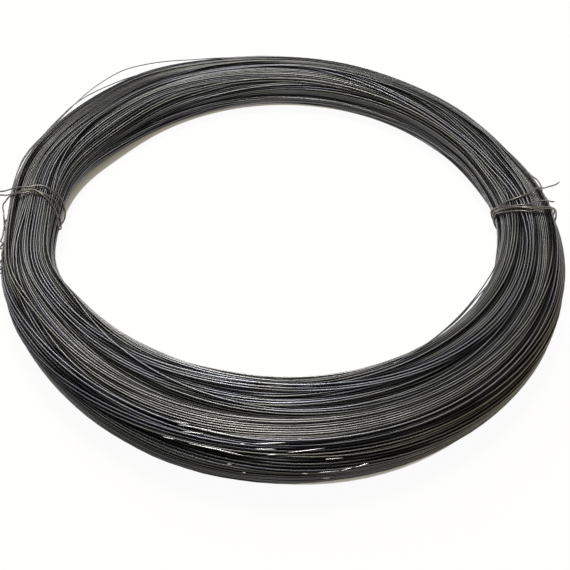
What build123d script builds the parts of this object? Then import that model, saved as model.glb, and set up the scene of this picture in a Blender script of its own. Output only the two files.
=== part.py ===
from build123d import *
from math import cos, degrees, pi, radians, sin, sqrt
import os

# Coil of annealed binding wire, lying flat on its foot ring, with the bore axis along Z.
# All sizes are in millimetres. The origin is at the middle of the footprint, at the level of the floor.

# Coil: the outer side is slightly oval, and the bundle is thickest on the side away from the bore's offset
bore_diameter = 458.0
bore_offset_x = 3.6
bore_offset_y = 8.6
bore_wall_length = 10.0
outer_diameter = 596.0
oval_depth = 10.5
oval_angle = 118.0
bundle_height = 50.0
corner_radius = 20.0
coil_steps = 96

# Turns, drawn as ridges with a furrow between each two
furrow_depth = 1.3
ridges_per_corner = 5
ridges_on_top = 4
ridges_on_side = 1

# Waist that each tie draws in
waist_length = 200.0
waist_depth_inside = 9.0
waist_depth_up = 3.5

# Ties
tie_wire_diameter = 1.6
tie_wire_sides = 8
tie_clearance = 0.4
bend_steps = 4
inner_pitch = 2.6
outer_pitch = 6.5
tail_overhang = 12.0
tail_rise = 6.0
hook_drop = 14.0
tie_angles = {"left_tie": 180.0, "right_tie": -2.0}
tie_turns = {"left_tie": 1, "right_tie": 3}

mean_radius = (bore_diameter + outer_diameter) / 4
seat = tie_clearance + tie_wire_diameter / 2


def angle_of(length):
    """Angle that a length along the bundle's middle takes up."""
    return degrees(length / mean_radius)


def waist_share(angle):
    """Share of a tie's full draw at an angle round the ring, from 0 to 1."""
    away = min(abs((angle - tie + 180) % 360 - 180) for tie in tie_angles.values())
    return (1 + cos(pi * min(away / angle_of(waist_length / 2), 1))) / 2


def inner_radius(angle):
    """Distance from the origin to the bundle's inner side."""
    c, s = cos(radians(angle)), sin(radians(angle))
    ahead, aside = bore_offset_x * c + bore_offset_y * s, bore_offset_y * c - bore_offset_x * s
    return ahead + sqrt((bore_diameter / 2) ** 2 - aside ** 2) + waist_depth_inside * waist_share(angle)


def outer_radius(angle):
    """Distance from the origin to the bundle's outer side."""
    return outer_diameter / 2 + oval_depth * cos(radians(2 * (angle - oval_angle)))


def bundle_size(angle):
    """Width and height of the bundle at an angle round the ring."""
    return outer_radius(angle) - inner_radius(angle), bundle_height - 2 * waist_depth_up * waist_share(angle)


def corner_size(angle):
    """Radius of the bundle's corners, which leaves the furrows of opposite sides apart."""
    return min(corner_radius, min(bundle_size(angle)) / 2 - furrow_depth)


def radial_plane(angle):
    """Plane across the bundle, with its own x outward and its own y up."""
    c, s = cos(radians(angle)), sin(radians(angle))
    middle = (outer_radius(angle) + inner_radius(angle)) / 2
    return Plane(origin=(middle * c, middle * s, bundle_height / 2), x_dir=(c, s, 0), z_dir=(s, -c, 0))


def ridged_corner(centre, corner, first_angle):
    """Points of the ridges and furrows round one corner of the bundle."""
    count = 2 * ridges_per_corner
    points = []
    for i in range(count + 1):
        angle = radians(first_angle + 90 * i / count)
        radius = corner - furrow_depth * (i % 2)
        points.append(Vector(*centre) + Vector(cos(angle), sin(angle)) * radius)
    return points


def ridged_flat(start, end, inward, ridges):
    """Points between the ends of a level stretch, with a furrow beside each ridge."""
    count = 2 * ridges
    return [start + (end - start) * i / count + inward * (furrow_depth * (i % 2)) for i in range(1, count)]


def bundle_section(angle):
    """Section of the bundle: a plain foot and bore wall, with ridged turns round the rest."""
    (width, height), corner = bundle_size(angle), corner_size(angle)
    x, y = width / 2 - corner, height / 2 - corner
    lower_outer = ridged_corner((x, -y), corner, 270)
    upper_outer = ridged_corner((x, y), corner, 0)
    upper_inner = ridged_corner((-x, y), corner, 90)
    lower_inner = ridged_corner((-x, -y), corner, 180)
    side = ridged_flat(lower_outer[-1], upper_outer[0], Vector(-1, 0), ridges_on_side)
    top = ridged_flat(upper_outer[-1], upper_inner[0], Vector(0, -1), ridges_on_top)
    points = [*lower_outer, *side, *upper_outer, *top, *upper_inner, *lower_inner]
    return radial_plane(angle) * make_face(Polyline(*points, close=True))


def ring_stretch(first_step, last_step):
    """Stretch of the coil's body between two of its steps."""
    angles = [360 * i / coil_steps for i in range(first_step, last_step + 1)]
    return loft([bundle_section(angle) for angle in angles], ruled=True)


def wire_coil():
    """Body of the coil, with its bore turned true."""
    body = ring_stretch(0, coil_steps // 2) + ring_stretch(coil_steps // 2, coil_steps)
    bore = Cylinder(bore_diameter / 2, bore_wall_length)
    return body - Pos(bore_offset_x, bore_offset_y, bundle_height / 2) * bore


def bend(angle, side, level):
    """Points of a tie's bend round one corner of the waist, as (outward, up, angle round the ring)."""
    (width, height), corner = bundle_size(angle), corner_size(angle)
    x, y = side * (width / 2 - corner), level * (height / 2 - corner)
    first_angle = {(1, 1): 0, (-1, 1): 90, (-1, -1): 180, (1, -1): 270}[side, level]
    half_step = 45 / bend_steps
    radius = (corner + seat) / cos(radians(half_step))
    turns = [radians(first_angle + half_step * (2 * i + 1)) for i in range(bend_steps)]
    return [(x + radius * cos(a), y + radius * sin(a), angle) for a in turns]


def tail(angle):
    """Free end of a tie, which stands off the outer side of the waist, and the bend that it comes from."""
    width, height = bundle_size(angle)
    return [(width / 2 + tail_overhang, height / 2 + seat + tail_rise, angle), bend(angle, 1, 1)[-1]]


def tie(angle, turns):
    """One length of tie wire: a tail over the top, its turns, and a hook on the bore side.

    From the hook the wire runs back over the top to its second tail.
    """
    inner = [angle + angle_of(inner_pitch * (i - (turns + 1) / 2)) for i in range(turns + 2)]
    outer = [angle + angle_of(outer_pitch * (i - turns / 2)) for i in range(-1, turns + 2)]
    points = tail(outer[0])
    for i in range(turns):
        points += bend(inner[i], -1, 1) + bend(inner[i], -1, -1)
        points += bend(outer[i + 1], 1, -1) + bend(outer[i + 1], 1, 1)
    hook_x, hook_y, _ = bend(inner[turns], -1, 1)[-1]
    points += bend(inner[turns], -1, 1) + [(hook_x, hook_y - hook_drop, a) for a in inner[turns:]]
    points += bend(inner[turns + 1], -1, 1)[::-1] + tail(outer[turns + 2])[::-1]
    path = Polyline(*[radial_plane(a).from_local_coords((x, y, 0)) for x, y, a in points])
    section = Plane(origin=path @ 0, z_dir=path % 0) * RegularPolygon(tie_wire_diameter / 2, tie_wire_sides)
    return sweep(section, path=path, transition=Transition.RIGHT)


os.makedirs("parts", exist_ok=True)
export_step(wire_coil(), "parts/wire_coil.step")
for name, angle in tie_angles.items():
    export_step(tie(angle, tie_turns[name]), f"parts/{name}.step")
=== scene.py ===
import math
import bmesh
import bpy
import numpy as np
from mathutils import Matrix, Vector


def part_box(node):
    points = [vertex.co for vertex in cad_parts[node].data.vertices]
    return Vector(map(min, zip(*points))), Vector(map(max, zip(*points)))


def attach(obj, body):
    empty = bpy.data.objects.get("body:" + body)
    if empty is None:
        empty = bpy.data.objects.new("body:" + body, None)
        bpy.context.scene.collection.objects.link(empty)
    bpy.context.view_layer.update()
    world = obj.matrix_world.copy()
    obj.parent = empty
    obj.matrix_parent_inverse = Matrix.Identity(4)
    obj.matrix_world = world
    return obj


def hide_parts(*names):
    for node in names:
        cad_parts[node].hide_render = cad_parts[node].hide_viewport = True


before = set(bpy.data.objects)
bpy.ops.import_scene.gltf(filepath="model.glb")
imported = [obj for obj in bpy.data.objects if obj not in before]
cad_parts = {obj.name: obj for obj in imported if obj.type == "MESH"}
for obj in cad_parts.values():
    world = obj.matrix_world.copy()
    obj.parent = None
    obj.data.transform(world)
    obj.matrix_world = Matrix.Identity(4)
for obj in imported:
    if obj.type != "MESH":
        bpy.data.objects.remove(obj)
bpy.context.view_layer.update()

MM = 0.001
TAU = 2 * math.pi
rng = np.random.default_rng(21)

# The bundle: its height is that of the CAD coil, its ring is measured in the photo
coil_low, coil_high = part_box("wire_coil")
HEIGHT = (coil_high.z - coil_low.z) / MM
WIDTH = 65.6
RING_RADIUS = 264.8
CORNER = 20.0
CENTRE = (1.8, 4.3)

# The wires, in millimetres
WIRE = 1.2
TIE_WIRE = 1.6
PITCH = 1.95

# Sampling: stations round the ring, cells round the bundle, sides round a turn
STATIONS = 128
CELLS = 1024
SIDES = 5

theta = np.arange(STATIONS) * TAU / STATIONS


def bump_at(t, middle, spread):
    """A smooth bump round an angle in degrees, 1 at its middle."""
    away = (np.degrees(t) - middle + 180) % 360 - 180
    return np.exp(-(away / spread) ** 2)


# Where the bundle's two sides stand outside the plain ring: degrees, spread, millimetres
INNER_BUMPS = [(165, 16, 7.0), (148, 12, -2.0), (200, 13, 9.0), (-138, 18, -2.0),
               (-112, 16, -1.5), (-65, 32, 1.5), (-3, 11, 3.5), (90, 28, 4.0)]
OUTER_BUMPS = [(60, 38, -5.0), (17, 13, -5.0), (95, 14, -3.0), (126, 12, 7.5), (144, 20, 6.0),
               (165, 8, 1.0), (188, 15, -9.0), (-28, 18, 1.5), (-105, 24, 3.5)]


def bumps(t, table):
    """Sum of the bumps of a table."""
    return sum(size * bump_at(t, middle, spread) for middle, spread, size in table)


def bundle_width(t):
    """Width of the bundle round the ring: widest at the front, drawn in at the ties."""
    sway = 0.055 * np.cos(t) + 0.131 * np.sin(t) + 0.184 * np.cos(2 * t) + 0.131 * np.sin(2 * t)
    return WIDTH * (1 - sway) + bumps(t, OUTER_BUMPS) - bumps(t, INNER_BUMPS)


def ring_radius(t):
    """Radius of the bundle's middle: the ring is slightly out of round."""
    plain = RING_RADIUS * (1 - 0.0176 * np.sin(2 * t) - 0.0026 * np.cos(3 * t))
    return plain + (bumps(t, OUTER_BUMPS) + bumps(t, INNER_BUMPS)) / 2


def girth_at(t):
    """Length of the section's outline, in millimetres."""
    return 2 * (bundle_width(t) + HEIGHT) - (8 - TAU) * CORNER


def outline(share, a, b, r):
    """Point and outward normal at a share of the way round a rounded rectangle of half sizes a, b.

    It starts at the middle of the foot and runs up the outer side, over the top and down the bore.
    """
    along = (share % 1) * (4 * (a + b - 2 * r) + TAU * r)
    x, y, heading = 0 * along, 0 * along - b, 0 * along
    flat_x, flat_y, arc = a - r, b - r, TAU / 4 * r
    stretches = ((False, flat_x), (True, arc), (False, 2 * flat_y), (True, arc),
                 (False, 2 * flat_x), (True, arc), (False, 2 * flat_y), (True, arc),
                 (False, flat_x))
    for bends, length in stretches:
        step = np.clip(along, 0, length)
        along = along - length
        if bends:
            turned = heading + step / r
            x = x + r * (np.sin(turned) - np.sin(heading))
            y = y + r * (np.cos(heading) - np.cos(turned))
            heading = turned
        else:
            x = x + step * np.cos(heading)
            y = y + step * np.sin(heading)
    return x, y, np.sin(heading), -np.cos(heading)


def on_ring(t, x, y):
    """Place in the row frame, in metres, of a point of the section at angle t."""
    radius = ring_radius(t) + x
    across, back = CENTRE[0] + radius * np.cos(t), CENTRE[1] + radius * np.sin(t)
    return np.stack([across, back, HEIGHT / 2 + y + 0 * t], axis=-1) * MM


def waves(sizes):
    """A slow random wander round the ring, as a sum of whole waves."""
    total = np.zeros(STATIONS)
    for n, size in enumerate(sizes, start=1):
        total += rng.normal() * size * np.cos(n * theta + rng.uniform(0, TAU))
    return total


# Winding: each turn rests on those laid before it, in cells that hold their height above a core
girth = girth_at(theta)
MEAN_GIRTH = girth.mean()
cell = girth / CELLS
REACH = int(WIRE / 2 / cell.min()) + 1
FAR_BELOW = -1e3
offsets = np.arange(-REACH, REACH + 1)
rows = np.arange(STATIONS)[:, None]

# The valley along the front's top: share of the section, ends and spread in degrees, millimetres
VALLEY = 0.507
VALLEY_ENDS = (-112, -68)
VALLEY_SPREAD = 30
VALLEY_DEPTH = 3.0
VALLEY_WIDTH = 2.6
valley_gap = np.maximum(*(bump_at(theta, end, VALLEY_SPREAD) for end in VALLEY_ENDS))
cell_share = np.arange(CELLS) / CELLS
across_valley = (cell_share - VALLEY) * girth[:, None] / VALLEY_WIDTH
top = -VALLEY_DEPTH * valley_gap[:, None] * np.exp(-across_valley ** 2)


def cells_of(share):
    """Cells that a turn covers at each station, and how far each lifts its centre."""
    centre = (share % 1) * CELLS
    nearest = np.round(centre).astype(int)
    away = (nearest[:, None] + offsets - centre[:, None]) * cell[:, None]
    lift = np.sqrt(np.maximum((WIRE / 2) ** 2 - away ** 2, 0))
    covered = np.abs(away) < WIRE / 2
    return (nearest[:, None] + offsets) % CELLS, np.where(covered, lift, FAR_BELOW)


def lay_turn(share):
    """Height of a turn's centre above the core, where it bridges from one crossing to the next."""
    cells, lift = cells_of(share)
    height = (top[rows, cells] + lift).max(axis=1)
    high = np.maximum.reduce([np.roll(height, i) for i in (-1, 0, 1)])
    kernel = np.array([1, 2, 3, 2, 1]) / 9
    height = sum(k * np.roll(high, i - 2) for i, k in enumerate(kernel))
    top[rows, cells] = np.maximum(top[rows, cells], height[:, None] + lift)
    return height


turns = []

# Lays of turns: slack and furrows between turns in millimetres, and how much the tone varies
SLACK = 0.45
MOST_SLACK = 1.5
FURROW_CHANCE = 0.05
FURROW_WIDTHS = (0.8, 1.9)
TONE_SPREAD = 0.22

# Layers from the heart out: how many lays each has, and how far they wander, in millimetres
LAYERS = ((5, 5), (6, 7), (7, 4), (6, 5), (5, 6))
LAYER_PITCH = 2.2
STRAY_LAYS = 10
VALLEY_OPENING = 2


def opening():
    """A gap's share of its full width round the ring, which opens and closes slowly."""
    return 0.5 + 0.5 * np.cos(rng.integers(1, 4) * theta + rng.uniform(0, TAU))


def lay_side_by_side(middle, count, wander, tone):
    """A lay of turns side by side, with some slack between them and a few wider furrows."""
    place, places = 0 * theta, [0 * theta]
    for _ in range(count - 1):
        gap = PITCH + min(rng.exponential(SLACK), MOST_SLACK) * opening()
        if rng.random() < FURROW_CHANCE:
            gap = gap + rng.uniform(*FURROW_WIDTHS) * opening()
        place = place + gap * (girth / MEAN_GIRTH) ** 0.5
        places.append(place)
    for place in places:
        share = middle + wander / MEAN_GIRTH + (place - places[-1] / 2) / girth
        own_tone = np.clip(tone + rng.normal() * TONE_SPREAD, 0, 1)
        turns.append((share, lay_turn(share), own_tone))


def cover(lays, sway):
    """One layer all round the bundle, as several lays that wander nearly together."""
    common = waves([sway, sway / 3])
    count = int(MEAN_GIRTH / lays / LAYER_PITCH)
    start = rng.random()
    for i in rng.permutation(lays):
        wander = common + waves([2.0, 1.1, 0.5])
        lay_side_by_side(start + i / lays, count, wander, rng.uniform(0.35, 0.65))


for lays, sway in LAYERS:
    cover(lays, sway)

# The two last lays on top leave the valley open between them
for side, away, count, tone in ((1, 0.078, 12, 0.45), (-1, 0.086, 13, 0.6)):
    wander = waves([0.8, 0.6, 0.4]) + side * VALLEY_OPENING * valley_gap
    lay_side_by_side(VALLEY + side * away, count, wander, tone)
for _ in range(STRAY_LAYS):
    middle, count = rng.uniform(0.25, 0.85), rng.integers(1, 4)
    lay_side_by_side(middle, count, waves([8, 4, 2]), rng.uniform(0.3, 0.8))

# How far the core lies inside the bundle's outline, which the turns fill on average
inset = top.mean()

# A turn is seen where less than this lies over it, in millimetres, and is kept if it is seen on
# this share of the ring
OVERLAP = 0.25
LEAST_EXPOSED = 0.04


def exposed(turn):
    """Share of the ring where nothing lies over a turn."""
    share, height, _ = turn
    cells, _ = cells_of(share)
    over = top[np.arange(STATIONS), cells[:, REACH]] - (height + WIRE / 2)
    return (over < OVERLAP).mean()


shown = [turn for turn in turns if exposed(turn) > LEAST_EXPOSED]


def widest(field, stations, cells):
    """Largest value within some stations and cells of each place."""
    for axis, reach in enumerate((stations, cells)):
        rolled = [np.roll(field, i, axis=axis) for i in range(-reach, reach + 1)]
        field = np.maximum.reduce(rolled)
    return field


def smoothed(field, stations, cells):
    """Mean within some stations and cells of each place."""
    for axis, reach in enumerate((stations, cells)):
        total = sum(np.roll(field, i, axis=axis) for i in range(-reach, reach + 1))
        field = total / (2 * reach + 1)
    return field


# The crests that neighbouring turns make, and how far below them a furrow starts and gets its full
# painted shade
crest = smoothed(widest(top, 1, 9), 1, 6)
FURROW_START = 0.15
FURROW_DEPTH = 1.1


def section_at(t, share, lift, radius=WIRE / 2):
    """Point of the section, in its own plane, at a height above the core and clear of the floor."""
    a, b = bundle_width(t) / 2 - inset, HEIGHT / 2 - inset + 0 * t
    x, y, nx, ny = outline(share, a, b, CORNER - inset)
    return x + nx * lift, np.maximum(y + ny * lift, radius - HEIGHT / 2)


def depth_of(turn):
    """How deep a turn lies below the crests beside it, from 0 to 1."""
    share, height, _ = turn
    cells = np.round(share * CELLS).astype(int) % CELLS
    below = crest[np.arange(STATIONS), cells] - height - WIRE / 2
    return np.clip((below - FURROW_START) / FURROW_DEPTH, 0, 1)


def between(share, low, high, soft=0.05):
    """1 in a band of shares and 0 outside it, with soft edges."""
    return np.clip((share - low) / soft, 0, 1) * np.clip((high - share) / soft, 0, 1)


# Painted shading: dark where the front's outer side lies in shade, and lighter where light falls on
# the front's top and at 40 degrees: shares from and to, degrees, spread, strength
PAINTED_SHADING_ZONES = [(0, 0.385, -108, 42, 0.8), (0, 0.25, -95, 60, 0.25), (0, 0.3, -45, 35, 0.4),
              (0.52, 0.68, -110, 38, -0.5), (0.54, 0.7, 40, 30, -0.4)]
PAINTED_SHADING_BUMPS = [(65, 45, 0.25), (145, 22, 0.25), (-175, 15, 0.25)]


def soot_of(t, share):
    """Painted shading: about 1 low on the front's outer side, where shade falls, more at the foot
    and on the right and back shoulders, and below 0 where painted light lightens the front's top.
    """
    share = share % 1
    zones = sum(size * between(share, low, high) * bump_at(t, middle, spread)
                for low, high, middle, spread, size in PAINTED_SHADING_ZONES)
    foot = 0.2 * between(share, 0, 0.385)
    shoulder = np.maximum(bump_at(t, 55, 55), bump_at(t, 135, 38)) * between(share, 0.3, 0.56)
    return zones + foot + 0.7 * shoulder + bumps(t, PAINTED_SHADING_BUMPS)


def dust_of(t, share):
    """Where a painted warm reflection of the floor shows: on the front right, low on the outer
    side.
    """
    return between(share % 1, 0.08, 0.42, 0.08) * bump_at(t, -42, 34)


def new_object(name, points, quads, material, **attributes):
    """A smooth mesh object with values at its points."""
    mesh = bpy.data.meshes.new(name)
    mesh.vertices.add(len(points))
    mesh.vertices.foreach_set("co", points.astype(np.float32).ravel())
    mesh.loops.add(quads.size)
    mesh.loops.foreach_set("vertex_index", quads.astype(np.int32).ravel())
    mesh.polygons.add(len(quads))
    starts = np.arange(len(quads)) * quads.shape[1]
    mesh.polygons.foreach_set("loop_start", starts.astype(np.int32))
    mesh.update(calc_edges=True)
    mesh.polygons.foreach_set("use_smooth", np.ones(len(mesh.polygons), bool))
    for key, values in attributes.items():
        attribute = mesh.attributes.new(key, "FLOAT", "POINT")
        attribute.data.foreach_set("value", values.astype(np.float32).ravel())
    mesh.materials.append(material)
    piece = bpy.data.objects.new(name, mesh)
    bpy.context.scene.collection.objects.link(piece)
    return piece


def new_mesh(name, points, quads, material, slot, **attributes):
    """A mesh piece of the coil."""
    piece = new_object(name, points, quads, material, **attributes)
    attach(piece, "root")
    return piece


def grid_quads(row_count, column_count, closed=True):
    """Quads of a grid of points that closes round its columns, and round its rows if closed."""
    row, column = np.meshgrid(np.arange(row_count if closed else row_count - 1),
                              np.arange(column_count), indexing="ij")
    next_row, next_column = (row + 1) % row_count, (column + 1) % column_count
    corners = ((row, column), (row, next_column), (next_row, next_column), (next_row, column))
    return np.stack([r * column_count + c for r, c in corners], axis=-1).reshape(-1, 4)


TWIST = 0.7


def turns_mesh(name, some_turns, material):
    """Closed turns as one mesh of tubes, each turned a little from the one before."""
    count = len(some_turns)
    shares = np.array([turn[0] for turn in some_turns])
    heights = np.array([turn[1] for turn in some_turns])
    x, y = section_at(theta[None, :], shares, heights)
    spin = np.arange(count)[:, None, None] * TWIST + np.arange(SIDES) * TAU / SIDES
    points = on_ring(theta[None, :, None], x[:, :, None] + WIRE / 2 * np.cos(spin),
                     y[:, :, None] + WIRE / 2 * np.sin(spin))
    quads = grid_quads(STATIONS, SIDES) + np.arange(count)[:, None, None] * STATIONS * SIDES
    tone = np.repeat([turn[2] for turn in some_turns], STATIONS * SIDES)
    depth = np.repeat(np.array([depth_of(turn) for turn in some_turns]).ravel(), SIDES)
    # Painted shade in the furrows, painted shading round the bundle and a painted warm reflection
    # of the floor
    soot, dust = (np.repeat(zone(theta, shares).ravel(), SIDES) for zone in (soot_of, dust_of))
    return new_mesh(name, points.reshape(-1, 3), quads.reshape(-1, 4), material, "coil_wire",
                    tone=tone, depth=depth, soot=soot, dust=dust)


def new_material(name):
    """An empty node material."""
    material = bpy.data.materials.new(name)
    material.use_nodes = True
    nodes = material.node_tree.nodes
    nodes.clear()
    return material, nodes, material.node_tree.links


def math_node(nodes, links, operation, first, second):
    """A Math node of two values, each a socket or a number."""
    node = nodes.new("ShaderNodeMath")
    node.operation = operation
    for socket, value in zip(node.inputs, (first, second)):
        if isinstance(value, (int, float)):
            socket.default_value = value
        else:
            links.new(value, socket)
    return node.outputs[0]


def attribute_value(nodes, name):
    """Value of a mesh attribute, which is 0 on a mesh without it."""
    node = nodes.new("ShaderNodeAttribute")
    node.attribute_name = name
    return node.outputs["Fac"]


def faded(nodes, links, attribute, share):
    """1 less a share of a mesh attribute."""
    loss = math_node(nodes, links, "MULTIPLY", attribute_value(nodes, attribute), share)
    return math_node(nodes, links, "SUBTRACT", 1, loss)


def colour_ramp(nodes, links, factor, stops):
    """Colours between stops, each a position and a colour."""
    ramp = nodes.new("ShaderNodeValToRGB")
    links.new(factor, ramp.inputs[0])
    points = ramp.color_ramp.elements
    for point, (position, colour) in zip(points, (stops[0], stops[-1])):
        point.position, point.color = position, (*colour, 1)
    for position, colour in stops[1:-1]:
        points.new(position).color = (*colour, 1)
    return ramp.outputs[0]


def value_between(nodes, links, factor, low, high):
    """A value that runs from low to high where the factor runs from 0 to 1."""
    node = nodes.new("ShaderNodeMapRange")
    node.inputs["To Min"].default_value = low
    node.inputs["To Max"].default_value = high
    links.new(factor, node.inputs["Value"])
    return node.outputs[0]


# Steel: where the colours lie on the scale of tones, the look of its skin, and the strength of the
# painted shade in the furrows and of the painted shading
DARKEST, LIGHTEST = 0.2, 0.9
TONE_SHARE, BLOTCH_SHARE = 0.6, 0.5
BLOTCHES_SCALE, GRAIN_SCALE = 28, 900
FURROW_SHADE, PAINTED_SHADING_STRENGTH = 0.9, 0.75
ROUGHNESS, ROUGHNESS_SPREAD = 0.3, 0.07
GRAIN_STRENGTH, GRAIN_HEIGHT = 0.1, 0.0001
WHITE = (1, 1, 1)
PAINTED_REFLECTION_TINT = (1, 0.84, 0.58)


def annealed_steel(name, colours, metallic):
    """Black oxide on steel wire: satin, other from turn to turn, with painted shade in the furrows,
    painted shading round the bundle and a painted warm reflection.
    """
    material, nodes, links = new_material(name)
    out = nodes.new("ShaderNodeOutputMaterial")
    shader = nodes.new("ShaderNodeBsdfPrincipled")
    links.new(shader.outputs[0], out.inputs[0])
    coords = nodes.new("ShaderNodeTexCoord")

    def noise(scale, detail):
        node = nodes.new("ShaderNodeTexNoise")
        node.inputs["Scale"].default_value = scale
        node.inputs["Detail"].default_value = detail
        links.new(coords.outputs["Object"], node.inputs["Vector"])
        return node.outputs["Fac"]

    blotches, grain = noise(BLOTCHES_SCALE, 4), noise(GRAIN_SCALE, 3)
    own_tone = math_node(nodes, links, "MULTIPLY", attribute_value(nodes, "tone"), TONE_SHARE)
    stained = math_node(nodes, links, "MULTIPLY", blotches, BLOTCH_SHARE)
    tone = math_node(nodes, links, "ADD", own_tone, stained)
    positions = np.linspace(DARKEST, LIGHTEST, len(colours))
    oxide = colour_ramp(nodes, links, tone, list(zip(positions, colours)))
    # Painted shade: the furrows and the shaded sides are darkened, and a painted warm reflection
    # tints the front right
    furrow_shade_factor = faded(nodes, links, "depth", FURROW_SHADE)
    painted_shading_factor = faded(nodes, links, "soot", PAINTED_SHADING_STRENGTH)
    shaded = nodes.new("ShaderNodeVectorMath")
    shaded.operation = "SCALE"
    links.new(oxide, shaded.inputs[0])
    links.new(math_node(nodes, links, "MULTIPLY", furrow_shade_factor, painted_shading_factor), shaded.inputs["Scale"])
    # Painted reflection: a warm tint of the floor's light, low on the front right
    dust = attribute_value(nodes, "dust")
    dusty = nodes.new("ShaderNodeVectorMath")
    dusty.operation = "MULTIPLY"
    links.new(shaded.outputs["Vector"], dusty.inputs[0])
    links.new(colour_ramp(nodes, links, dust, [(0, WHITE), (1, PAINTED_REFLECTION_TINT)]), dusty.inputs[1])
    links.new(dusty.outputs[0], shader.inputs["Base Color"])
    rough = value_between(nodes, links, blotches, ROUGHNESS - ROUGHNESS_SPREAD,
                          ROUGHNESS + ROUGHNESS_SPREAD)
    links.new(rough, shader.inputs["Roughness"])
    relief = nodes.new("ShaderNodeBump")
    relief.inputs["Strength"].default_value = GRAIN_STRENGTH
    relief.inputs["Distance"].default_value = GRAIN_HEIGHT
    links.new(grain, relief.inputs["Height"])
    links.new(relief.outputs[0], shader.inputs["Normal"])
    shader.inputs["Metallic"].default_value = metallic
    return material


# Colours of the oxide on the coil and on the ties, and of the painted glints
NAVY = (0.080, 0.083, 0.100)
OLIVE = (0.148, 0.142, 0.125)
SLATE = (0.175, 0.177, 0.194)
STONE = (0.270, 0.268, 0.266)
UMBER = (0.080, 0.073, 0.062)
KHAKI = (0.125, 0.114, 0.096)
SAND = (0.220, 0.204, 0.180)
ASH = (0.450, 0.445, 0.420)
SILVER = (0.700, 0.690, 0.660)
coil_steel = annealed_steel("coil_steel", [NAVY, SLATE, OLIVE, STONE], 0.9)
tie_steel = annealed_steel("tie_steel", [UMBER, KHAKI, SAND], 0.9)
# A bright steel for the painted glints
painted_glint_steel = annealed_steel("painted_glint_steel", [STONE, ASH, SILVER], 0.95)

# Turns, joined into pieces of under 200,000 triangles
MOST_TRIANGLES = 200000
PER_PIECE = MOST_TRIANGLES // (STATIONS * SIDES * 2) - 1
for number, first in enumerate(range(0, len(shown), PER_PIECE), start=1):
    piece = turns_mesh(f"turns_{number}", shown[first:first + PER_PIECE], coil_steel)
    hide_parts("wire_coil")

# Dark heart of the bundle behind the outer turns, with full painted shade
CORE_CELLS = 48
CORE_LIFT = -0.5
core_t, core_share = np.meshgrid(theta, np.arange(CORE_CELLS) / CORE_CELLS, indexing="ij")
core_points = on_ring(core_t, *section_at(core_t, core_share, CORE_LIFT))
full_painted_shade = np.ones(core_t.size)
core = new_mesh("inner_turns", core_points.reshape(-1, 3), grid_quads(STATIONS, CORE_CELLS),
                coil_steel, "coil_wire", tone=0 * full_painted_shade, depth=full_painted_shade, soot=full_painted_shade)
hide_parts("wire_coil")

# Loose strands and ties follow points on the bundle, each with its degrees round the ring, its
# share of the section and its lift in millimetres. They press a little into the turns.
SUNK = 0.3
STRAND_SIDES = 8
TIE_SIDES = 10
TAPER = 0.1


def crest_at(t, share):
    """Height of the turns' crest above the core at any place."""
    row = (t / TAU % 1) * STATIONS
    column = (share % 1) * CELLS
    r0, c0 = np.floor(row).astype(int), np.floor(column).astype(int)
    fr, fc = row - r0, column - c0
    low = crest[r0 % STATIONS, c0 % CELLS] * (1 - fc) + crest[r0 % STATIONS, (c0 + 1) % CELLS] * fc
    r1 = r0 + 1
    high = crest[r1 % STATIONS, c0 % CELLS] * (1 - fc) + crest[r1 % STATIONS, (c0 + 1) % CELLS] * fc
    return low * (1 - fr) + high * fr


def smooth_path(points, steps):
    """Catmull-Rom curve through a list of points."""
    p = np.array([points[0], *points, points[-1]], dtype=float)
    s = np.arange(steps)[:, None] / steps
    spans = []
    for a, b, c, d in zip(p[:-3], p[1:-2], p[2:-1], p[3:]):
        spans.append(0.5 * (2 * b + (c - a) * s + (2 * a - 5 * b + 4 * c - d) * s ** 2
                            + (3 * b - a - 3 * c + d) * s ** 3))
    return np.concatenate([*spans, p[-1:]])


def bridged(values, reach):
    """Values that pass smoothly over their peaks, as a stiff wire does."""
    padded = np.pad(values, 2 * reach, mode="edge")
    windows = np.lib.stride_tricks.sliding_window_view(padded, 2 * reach + 1)
    return np.lib.stride_tricks.sliding_window_view(windows.max(axis=1), 2 * reach + 1).mean(axis=1)


def strand_points(controls, diameter, steps=8, reach=5):
    """Centre line, in metres, of a wire that lies on the bundle or stands off it."""
    path = smooth_path(controls, steps)
    t, share, lift = np.radians(path[:, 0]), path[:, 1], path[:, 2]
    height = bridged(crest_at(t, share), reach) + diameter / 2 - SUNK + lift
    return on_ring(t, *section_at(t, share, height, diameter / 2))


def tube(points, radius, sides):
    """Points and quads of a tube with closed ends, on frames that don't twist."""
    radius = radius * np.ones(len(points))
    ahead = np.gradient(points, axis=0)
    ahead /= np.linalg.norm(ahead, axis=1)[:, None]
    side = np.cross(ahead[0], (0.1, 0.3, 1.0))
    rings = []
    for point, direction, size in zip(points, ahead, radius):
        side = side - direction * side.dot(direction)
        side /= np.linalg.norm(side)
        other = np.cross(direction, side)
        spin = np.arange(sides)[:, None] * TAU / sides
        rings.append(point + size * (np.cos(spin) * side + np.sin(spin) * other))
    first_tip = points[0] - ahead[0] * radius[0] / 2
    last_tip = points[-1] + ahead[-1] * radius[-1] / 2
    rings = [rings[0] * 0 + first_tip, *rings, rings[-1] * 0 + last_tip]
    return np.concatenate(rings), grid_quads(len(rings), sides, closed=False)


def weld_tips(mesh):
    """Join the points of each tube's end, which lie in one place."""
    shape = bmesh.new()
    shape.from_mesh(mesh)
    bmesh.ops.remove_doubles(shape, verts=shape.verts, dist=1e-7)
    shape.to_mesh(mesh)
    shape.free()


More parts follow.
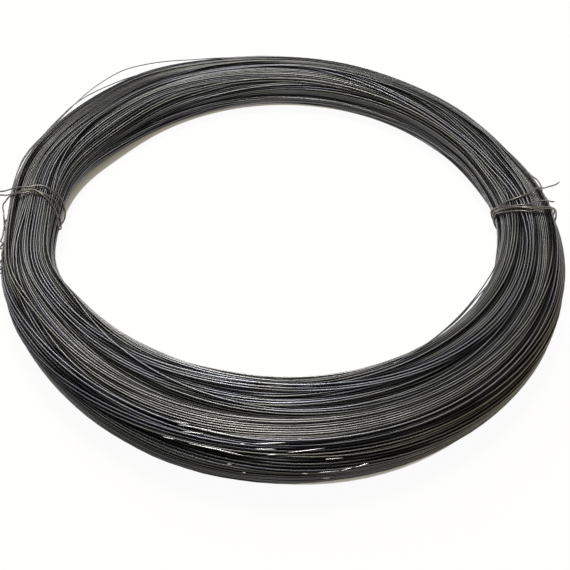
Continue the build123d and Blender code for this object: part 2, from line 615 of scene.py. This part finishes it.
def wires_mesh(name, strands, diameter, sides, material, slot, tone, soot=0.0, tapered=False):
    """Several strands as one piece."""
    all_points, all_quads, tones = [], [], []
    count = 0
    for strand in strands:
        arch = np.sin(np.linspace(TAPER, math.pi - TAPER, len(strand)))
        thickness = arch if tapered else 1.0
        points, quads = tube(strand, diameter / 2 * MM * thickness, sides)
        all_points.append(points)
        all_quads.append(quads + count)
        tones.append(np.full(len(points), tone + rng.uniform(-0.1, 0.1)))
        count += len(points)
    tones = np.concatenate(tones)
    piece = new_mesh(name, np.concatenate(all_points), np.concatenate(all_quads), material, slot,
                     tone=tones, depth=0 * tones, soot=0 * tones + soot)
    weld_tips(piece.data)
    return piece


LEFT_TIE = [
    (180.8, 0.36, 21), (180.3, 0.36, 17.7), (179.3, 0.36, 10.2), (178.4, 0.36, 4.6),
    (178.6, 0.385, 1.4), (179.0, 0.441, 0), (178.8, 0.499, 0), (178.2, 0.544, 0),
    (178.0, 0.576, 0), (178.1, 0.611, 0), (178.0, 0.654, 0), (177.9, 0.700, 0), (178.2, 0.760, 0),
    (179, 0.85, 0), (181, 1.0, 0), (183, 1.15, 0), (187.4, 1.28, 0.4), (186.8, 1.34, 1.2),
    (185.2, 1.36, 3.2), (183.0, 1.36, 4.9), (181.1, 1.363, 1.8), (180.8, 1.42, 0.2),
    (180.3, 1.49, 0.6), (180.2, 1.545, 0.9), (181.4, 1.59, 0.1), (183.0, 1.645, 0),
    (184.5, 1.688, 0), (186.2, 1.73, 0), (186.5, 1.77, 0), (185.4, 1.79, 0.6),
    (184.2, 1.765, 0.2), (182.8, 1.715, 0), (181.6, 1.69, 0), (180.8, 1.655, 0), (180.7, 1.61, 0),
    (180.3, 1.555, 0), (180.2, 1.52, 0.2), (180.8, 1.48, 0), (181.0, 1.436, 0),
    (180.2, 1.385, 0.9), (179.7, 1.36, 3.5), (180.3, 1.36, 9.4), (181.3, 1.36, 16.9),
    (181.9, 1.36, 21)]
LEFT_END = [
    (184.0, 0.30, -1.5), (185.5, 0.33, 0.2), (187.5, 0.35, 0.4), (189.5, 0.365, 0.8),
    (191.6, 0.36, 0.8), (193.2, 0.36, 1.8), (194.2, 0.375, 0.2), (195.3, 0.36, 1.6),
    (196.1, 0.38, 0.1), (197.5, 0.375, 0.2), (198.9, 0.38, 0), (200.2, 0.36, 1.4),
    (201.3, 0.375, 0.2), (202.0, 0.36, 1.5), (202.9, 0.37, 0.6)]
RIGHT_TIE = [
    (1.9, 0.37, 19.2), (1.6, 0.37, 16.6), (1.7, 0.37, 11.3), (1.9, 0.37, 8.1), (2.0, 0.375, 1.8),
    (1.3, 0.405, 0.5), (0.5, 0.437, 0), (-1.5, 0.509, 0), (-2.5, 0.576, 0), (-2.2, 0.636, 0),
    (-1.5, 0.672, 0), (0.2, 0.735, 0), (1.2, 0.80, 0), (1, 0.9, 0), (-1, 1.0, 0), (-3, 1.1, 0),
    (-3.6, 1.25, 0.4), (-3.4, 1.33, 1.6), (-4.4, 1.37, 0.9), (-5.4, 1.41, 0.1), (-6.2, 1.48, 0),
    (-6.1, 1.54, 0), (-5.6, 1.60, 0), (-4.1, 1.647, 0), (-2.2, 1.70, 0), (-0.4, 1.76, 0),
    (-0.5, 1.85, 0), (-2, 2.0, 0), (-4, 2.12, 0), (-5, 2.25, 0.2), (-4.6, 2.34, 1.2),
    (-5.6, 2.40, 0.2), (-6.6, 2.45, 0), (-7.5, 2.52, 0), (-7.4, 2.56, 0), (-6.6, 2.61, 0),
    (-4.8, 2.66, 0), (-3.0, 2.70, 0), (-1.4, 2.75, 0), (-1.5, 2.85, 0), (-3, 3.0, 0),
    (-5, 3.12, 0), (-5.6, 3.25, 0.2), (-4.2, 3.33, 2.2), (-4.6, 3.36, 1.6), (-5.6, 3.42, 0.2),
    (-6.6, 3.48, 0.4), (-6.6, 3.54, 0.8), (-5.6, 3.60, 0.9), (-3.9, 3.65, 0.6), (-1.8, 3.70, 0.3),
    (-0.3, 3.745, 0.2), (0.3, 3.79, 0.8), (0.9, 3.80, 1.4), (0.6, 3.76, 0.8), (-0.9, 3.70, 0.2),
    (-3.4, 3.645, 0.2), (-4.7, 3.61, 0), (-5.3, 3.56, 0.4), (-4.9, 3.51, 0), (-4.1, 3.455, 0),
    (-3.0, 3.40, 0.3), (-1.8, 3.365, 0.6), (-2.2, 3.36, 5.1)]
RIGHT_END = [
    (9.6, 0.34, -1.6), (9.0, 0.37, -0.3), (7.6, 0.365, 0.8), (5.6, 0.365, 3.4), (4.5, 0.365, 3.6),
    (3.5, 0.365, 3.1), (2.0, 0.365, 1.3), (1.4, 0.365, -0.6), (0.7, 0.365, 0.0),
    (-0.2, 0.365, 0.5), (-1.6, 0.365, 1.0), (-2.3, 0.365, -0.6), (-3.1, 0.362, 0.2),
    (-3.9, 0.36, 0.8), (-4.3, 0.36, -0.4), (-4.6, 0.36, 0.6)]

for node, main, end in (("left_tie", LEFT_TIE, LEFT_END), ("right_tie", RIGHT_TIE, RIGHT_END)):
    strands = [strand_points(main, TIE_WIRE, reach=9), strand_points(end, TIE_WIRE)]
    piece = wires_mesh(f"{node}_wire", strands, TIE_WIRE, TIE_SIDES, tie_steel, "tie_wire", 0.5)
    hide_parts(node)

# Strands that stand off the bundle: three at the back left and two on the inner right
LOOSE = [
    [(181, 0.34, -1), (178, 0.345, 0), (173, 0.35, 0.4), (168, 0.355, 1.4), (163, 0.36, 0.8),
     (158, 0.365, -0.4), (153, 0.37, 0), (148, 0.373, 3), (143, 0.375, 6.8), (138, 0.378, 9.8),
     (132, 0.38, 11.7), (126, 0.383, 9.8), (120, 0.385, 6.2), (114, 0.39, 2.4),
     (109, 0.395, 0.8), (104, 0.395, -0.8)],
    [(163, 0.355, -1), (157, 0.365, 0.2), (152, 0.37, 1.6), (148, 0.375, 3.6), (143, 0.378, 4.2),
     (137, 0.38, 2.4), (132, 0.38, 0.6), (128, 0.38, -1)],
    [(179, 0.35, -1), (175, 0.355, -0.2), (170, 0.36, 0.3), (165, 0.362, 0), (160, 0.365, -1)],
    [(-66, 0.63, -1), (-58, 0.64, 1.5), (-50, 0.655, 3), (-42, 0.67, 3.6), (-34, 0.69, 2.6),
     (-26, 0.71, 0.8), (-20, 0.72, -1)],
    [(-60, 0.65, -1), (-53, 0.66, 1), (-45, 0.67, 1.8), (-37, 0.69, 1.4), (-30, 0.70, -1)]]
loose_strands = [strand_points(controls, WIRE) for controls in LOOSE]
# The loose strands carry 0.6 of the painted shade
loose = wires_mesh("loose_turns", loose_strands, WIRE, STRAND_SIDES, coil_steel, "coil_wire", 0.4,
                   soot=0.6)
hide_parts("wire_coil")

# Painted glints on the front's outer side, as thin bright strands on the turns: degrees and share
PAINTED_GLINTS = [
    [(-107.1, 0.343), (-105.1, 0.346)], [(-102.9, 0.346), (-98.6, 0.347), (-94.5, 0.341)],
    [(-105.3, 0.383), (-102.3, 0.389), (-99.5, 0.392)], [(-100.7, 0.389), (-96.4, 0.387)],
    [(-95.4, 0.368), (-94.4, 0.370)], [(-93.4, 0.372), (-88.4, 0.378)],
    [(-93.0, 0.360), (-89.8, 0.362)], [(-91.2, 0.347), (-89.7, 0.349)],
    [(-88.2, 0.354), (-85.5, 0.358), (-82.7, 0.361)], [(-82.8, 0.332), (-80.2, 0.330)],
    [(-84.0, 0.294), (-80.8, 0.293)], [(-80.7, 0.292), (-79.1, 0.297)],
    [(-78.7, 0.296), (-76.6, 0.302)], [(-86.2, 0.294), (-85.3, 0.293)],
    [(-83.3, 0.258), (-82.1, 0.254)], [(-94.7, 0.288), (-94.2, 0.290)],
    [(-96.9, 0.310), (-96.3, 0.312)], [(-86.6, 0.385), (-85.8, 0.385)],
    [(-106.4, 0.390), (-103.5, 0.397)], [(-104.4, 0.370), (-100.9, 0.378)]]
PAINTED_GLINT_WIDTH = 0.62
painted_glint_paths = [strand_points([(*place, 0) for place in places], PAINTED_GLINT_WIDTH, steps=12)
          for places in PAINTED_GLINTS]
glint_piece = wires_mesh("painted_glints", painted_glint_paths, PAINTED_GLINT_WIDTH, STRAND_SIDES, painted_glint_steel, "coil_wire",
                   0.55, tapered=True)
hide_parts("wire_coil")

# Camera: the photo's viewpoint, fitted to the ring's outer and inner edges
PHOTO_WIDTH = 570
FOCAL_PX = 635.8
DISTANCE = 0.66
ELEVATION = math.radians(48.69)
ROLL = -0.002
TARGET = Vector((0.0097, -0.0825, 0))
SENSOR = 36
back = Vector((0, -math.cos(ELEVATION), math.sin(ELEVATION)))
level, rise = Vector((1, 0, 0)), Vector((0, math.sin(ELEVATION), math.cos(ELEVATION)))
right = math.cos(ROLL) * level + math.sin(ROLL) * rise
up = math.cos(ROLL) * rise - math.sin(ROLL) * level
camera_data = bpy.data.cameras.new("camera")
camera_data.sensor_width = SENSOR
camera_data.lens = SENSOR * FOCAL_PX / PHOTO_WIDTH
camera = bpy.data.objects.new("camera", camera_data)
bpy.context.scene.collection.objects.link(camera)
turned = Matrix((right, up, back)).transposed().to_4x4()
camera.matrix_world = Matrix.Translation(TARGET + back * DISTANCE) @ turned
bpy.context.scene.camera = camera


# Stage: floor and backdrop look whiter than the light they throw on the coil
FLOOR_COLOUR = (0.90, 0.78, 0.55)
FLOOR_GLOW = 0.95
FLOOR_RADIUS = 8000
# The strip's glow darkens to this tan: a painted shadow beside the coil
PAINTED_SHADOW_TINT = (0.42, 0.38, 0.29)
STRIP_SHADE = 0.6
ROOM_LIGHT = 0.2
BACKDROP_LIGHT = 1.0

# The strip's two edges, in millimetres from the bundle's sides, and their bumps
IN_HOLE = 15
IN_HOLE_BUMPS = [(158, 35, -14), (90, 50, -4)]
OUTSIDE = -16
OUTSIDE_BUMPS = [(-70, 34, 10.4)]


def sees_backdrop(nodes, links):
    """1 for rays that see the white backdrop: those of the camera, mirrors and glass."""
    path = nodes.new("ShaderNodeLightPath")
    total = path.outputs["Is Camera Ray"]
    for name in ("Is Glossy Ray", "Is Transmission Ray"):
        total = math_node(nodes, links, "MAXIMUM", total, path.outputs[name])
    return total


def floor_material():
    """White to the camera, but for a strip that shows the floor's own warm colour with its real
    shadow, and a glow that darkens to tan as a painted shadow.
    """
    material, nodes, links = new_material("floor_white")
    out = nodes.new("ShaderNodeOutputMaterial")
    diffuse = nodes.new("ShaderNodeBsdfDiffuse")
    diffuse.inputs[0].default_value = (*FLOOR_COLOUR, 1)
    glow = nodes.new("ShaderNodeEmission")
    strip = attribute_value(nodes, "strip")
    links.new(colour_ramp(nodes, links, strip, [(0, WHITE), (1, PAINTED_SHADOW_TINT)]), glow.inputs[0])
    plain = faded(nodes, links, "strip", STRIP_SHADE)
    seen = math_node(nodes, links, "MULTIPLY", sees_backdrop(nodes, links), FLOOR_GLOW)
    mix = nodes.new("ShaderNodeMixShader")
    links.new(math_node(nodes, links, "MULTIPLY", seen, plain), mix.inputs[0])
    links.new(diffuse.outputs[0], mix.inputs[1])
    links.new(glow.outputs[0], mix.inputs[2])
    links.new(mix.outputs[0], out.inputs[0])
    return material


def make_floor():
    """A floor in rings of points, with a narrow strip beside the coil, inside and outside it."""
    half = bundle_width(theta) / 2
    in_hole = ring_radius(theta) - half + IN_HOLE + bumps(theta, IN_HOLE_BUMPS)
    outside = ring_radius(theta) + half + OUTSIDE + bumps(theta, OUTSIDE_BUMPS)
    rings = [(0 * theta, 0), (in_hole - 1, 0), (in_hole, 0.75), (in_hole + 9, 1),
             (outside - 5, 1), (outside, 0.75), (outside + 1, 0), (0 * theta + FLOOR_RADIUS, 0)]
    points = np.concatenate([on_ring(theta, radius - ring_radius(theta), -HEIGHT / 2)
                             for radius, _ in rings])
    facing_up = grid_quads(len(rings), STATIONS, closed=False)[:, [0, 3, 2, 1]]
    strip = np.repeat([value for _, value in rings], STATIONS)
    floor = new_object("floor", points, facing_up, floor_material(), strip=strip)


def make_world():
    """Dim light from all round, behind which the backdrop looks white."""
    world = bpy.data.worlds.new("studio")
    bpy.context.scene.world = world
    world.use_nodes = True
    nodes, links = world.node_tree.nodes, world.node_tree.links
    seen = sees_backdrop(nodes, links)
    strength = value_between(nodes, links, seen, ROOM_LIGHT, BACKDROP_LIGHT)
    nodes["Background"].inputs[0].default_value = (*WHITE, 1)
    links.new(strength, nodes["Background"].inputs[1])


# Lamps: name, place and aim in metres, size in metres, watts
LAMPS = [("key_light", (-0.65, 1.35, 1.5), (0, 0, 0), (0.9, 0.7), 18),
         ("top_light", (-0.1, 0.5, 1.9), (0, 0, 0), (0.65, 0.45), 38),
         ("glint_light", (-0.1, -2.0, 0.55), (0, -0.25, 0), (0.16, 0.12), 4)]


def soft_box(name, place, aim, size, watts):
    """A rectangular lamp."""
    light = bpy.data.lights.new(name, "AREA")
    light.shape = "RECTANGLE"
    light.size, light.size_y = size
    light.energy = watts
    lamp = bpy.data.objects.new(name, light)
    bpy.context.scene.collection.objects.link(lamp)
    lamp.location = place
    lamp.rotation_mode = "QUATERNION"
    lamp.rotation_quaternion = (Vector(aim) - Vector(place)).to_track_quat("-Z", "Y")


make_floor()
make_world()
for lamp in LAMPS:
    soft_box(*lamp)

bpy.context.scene.view_settings.view_transform = "Standard"
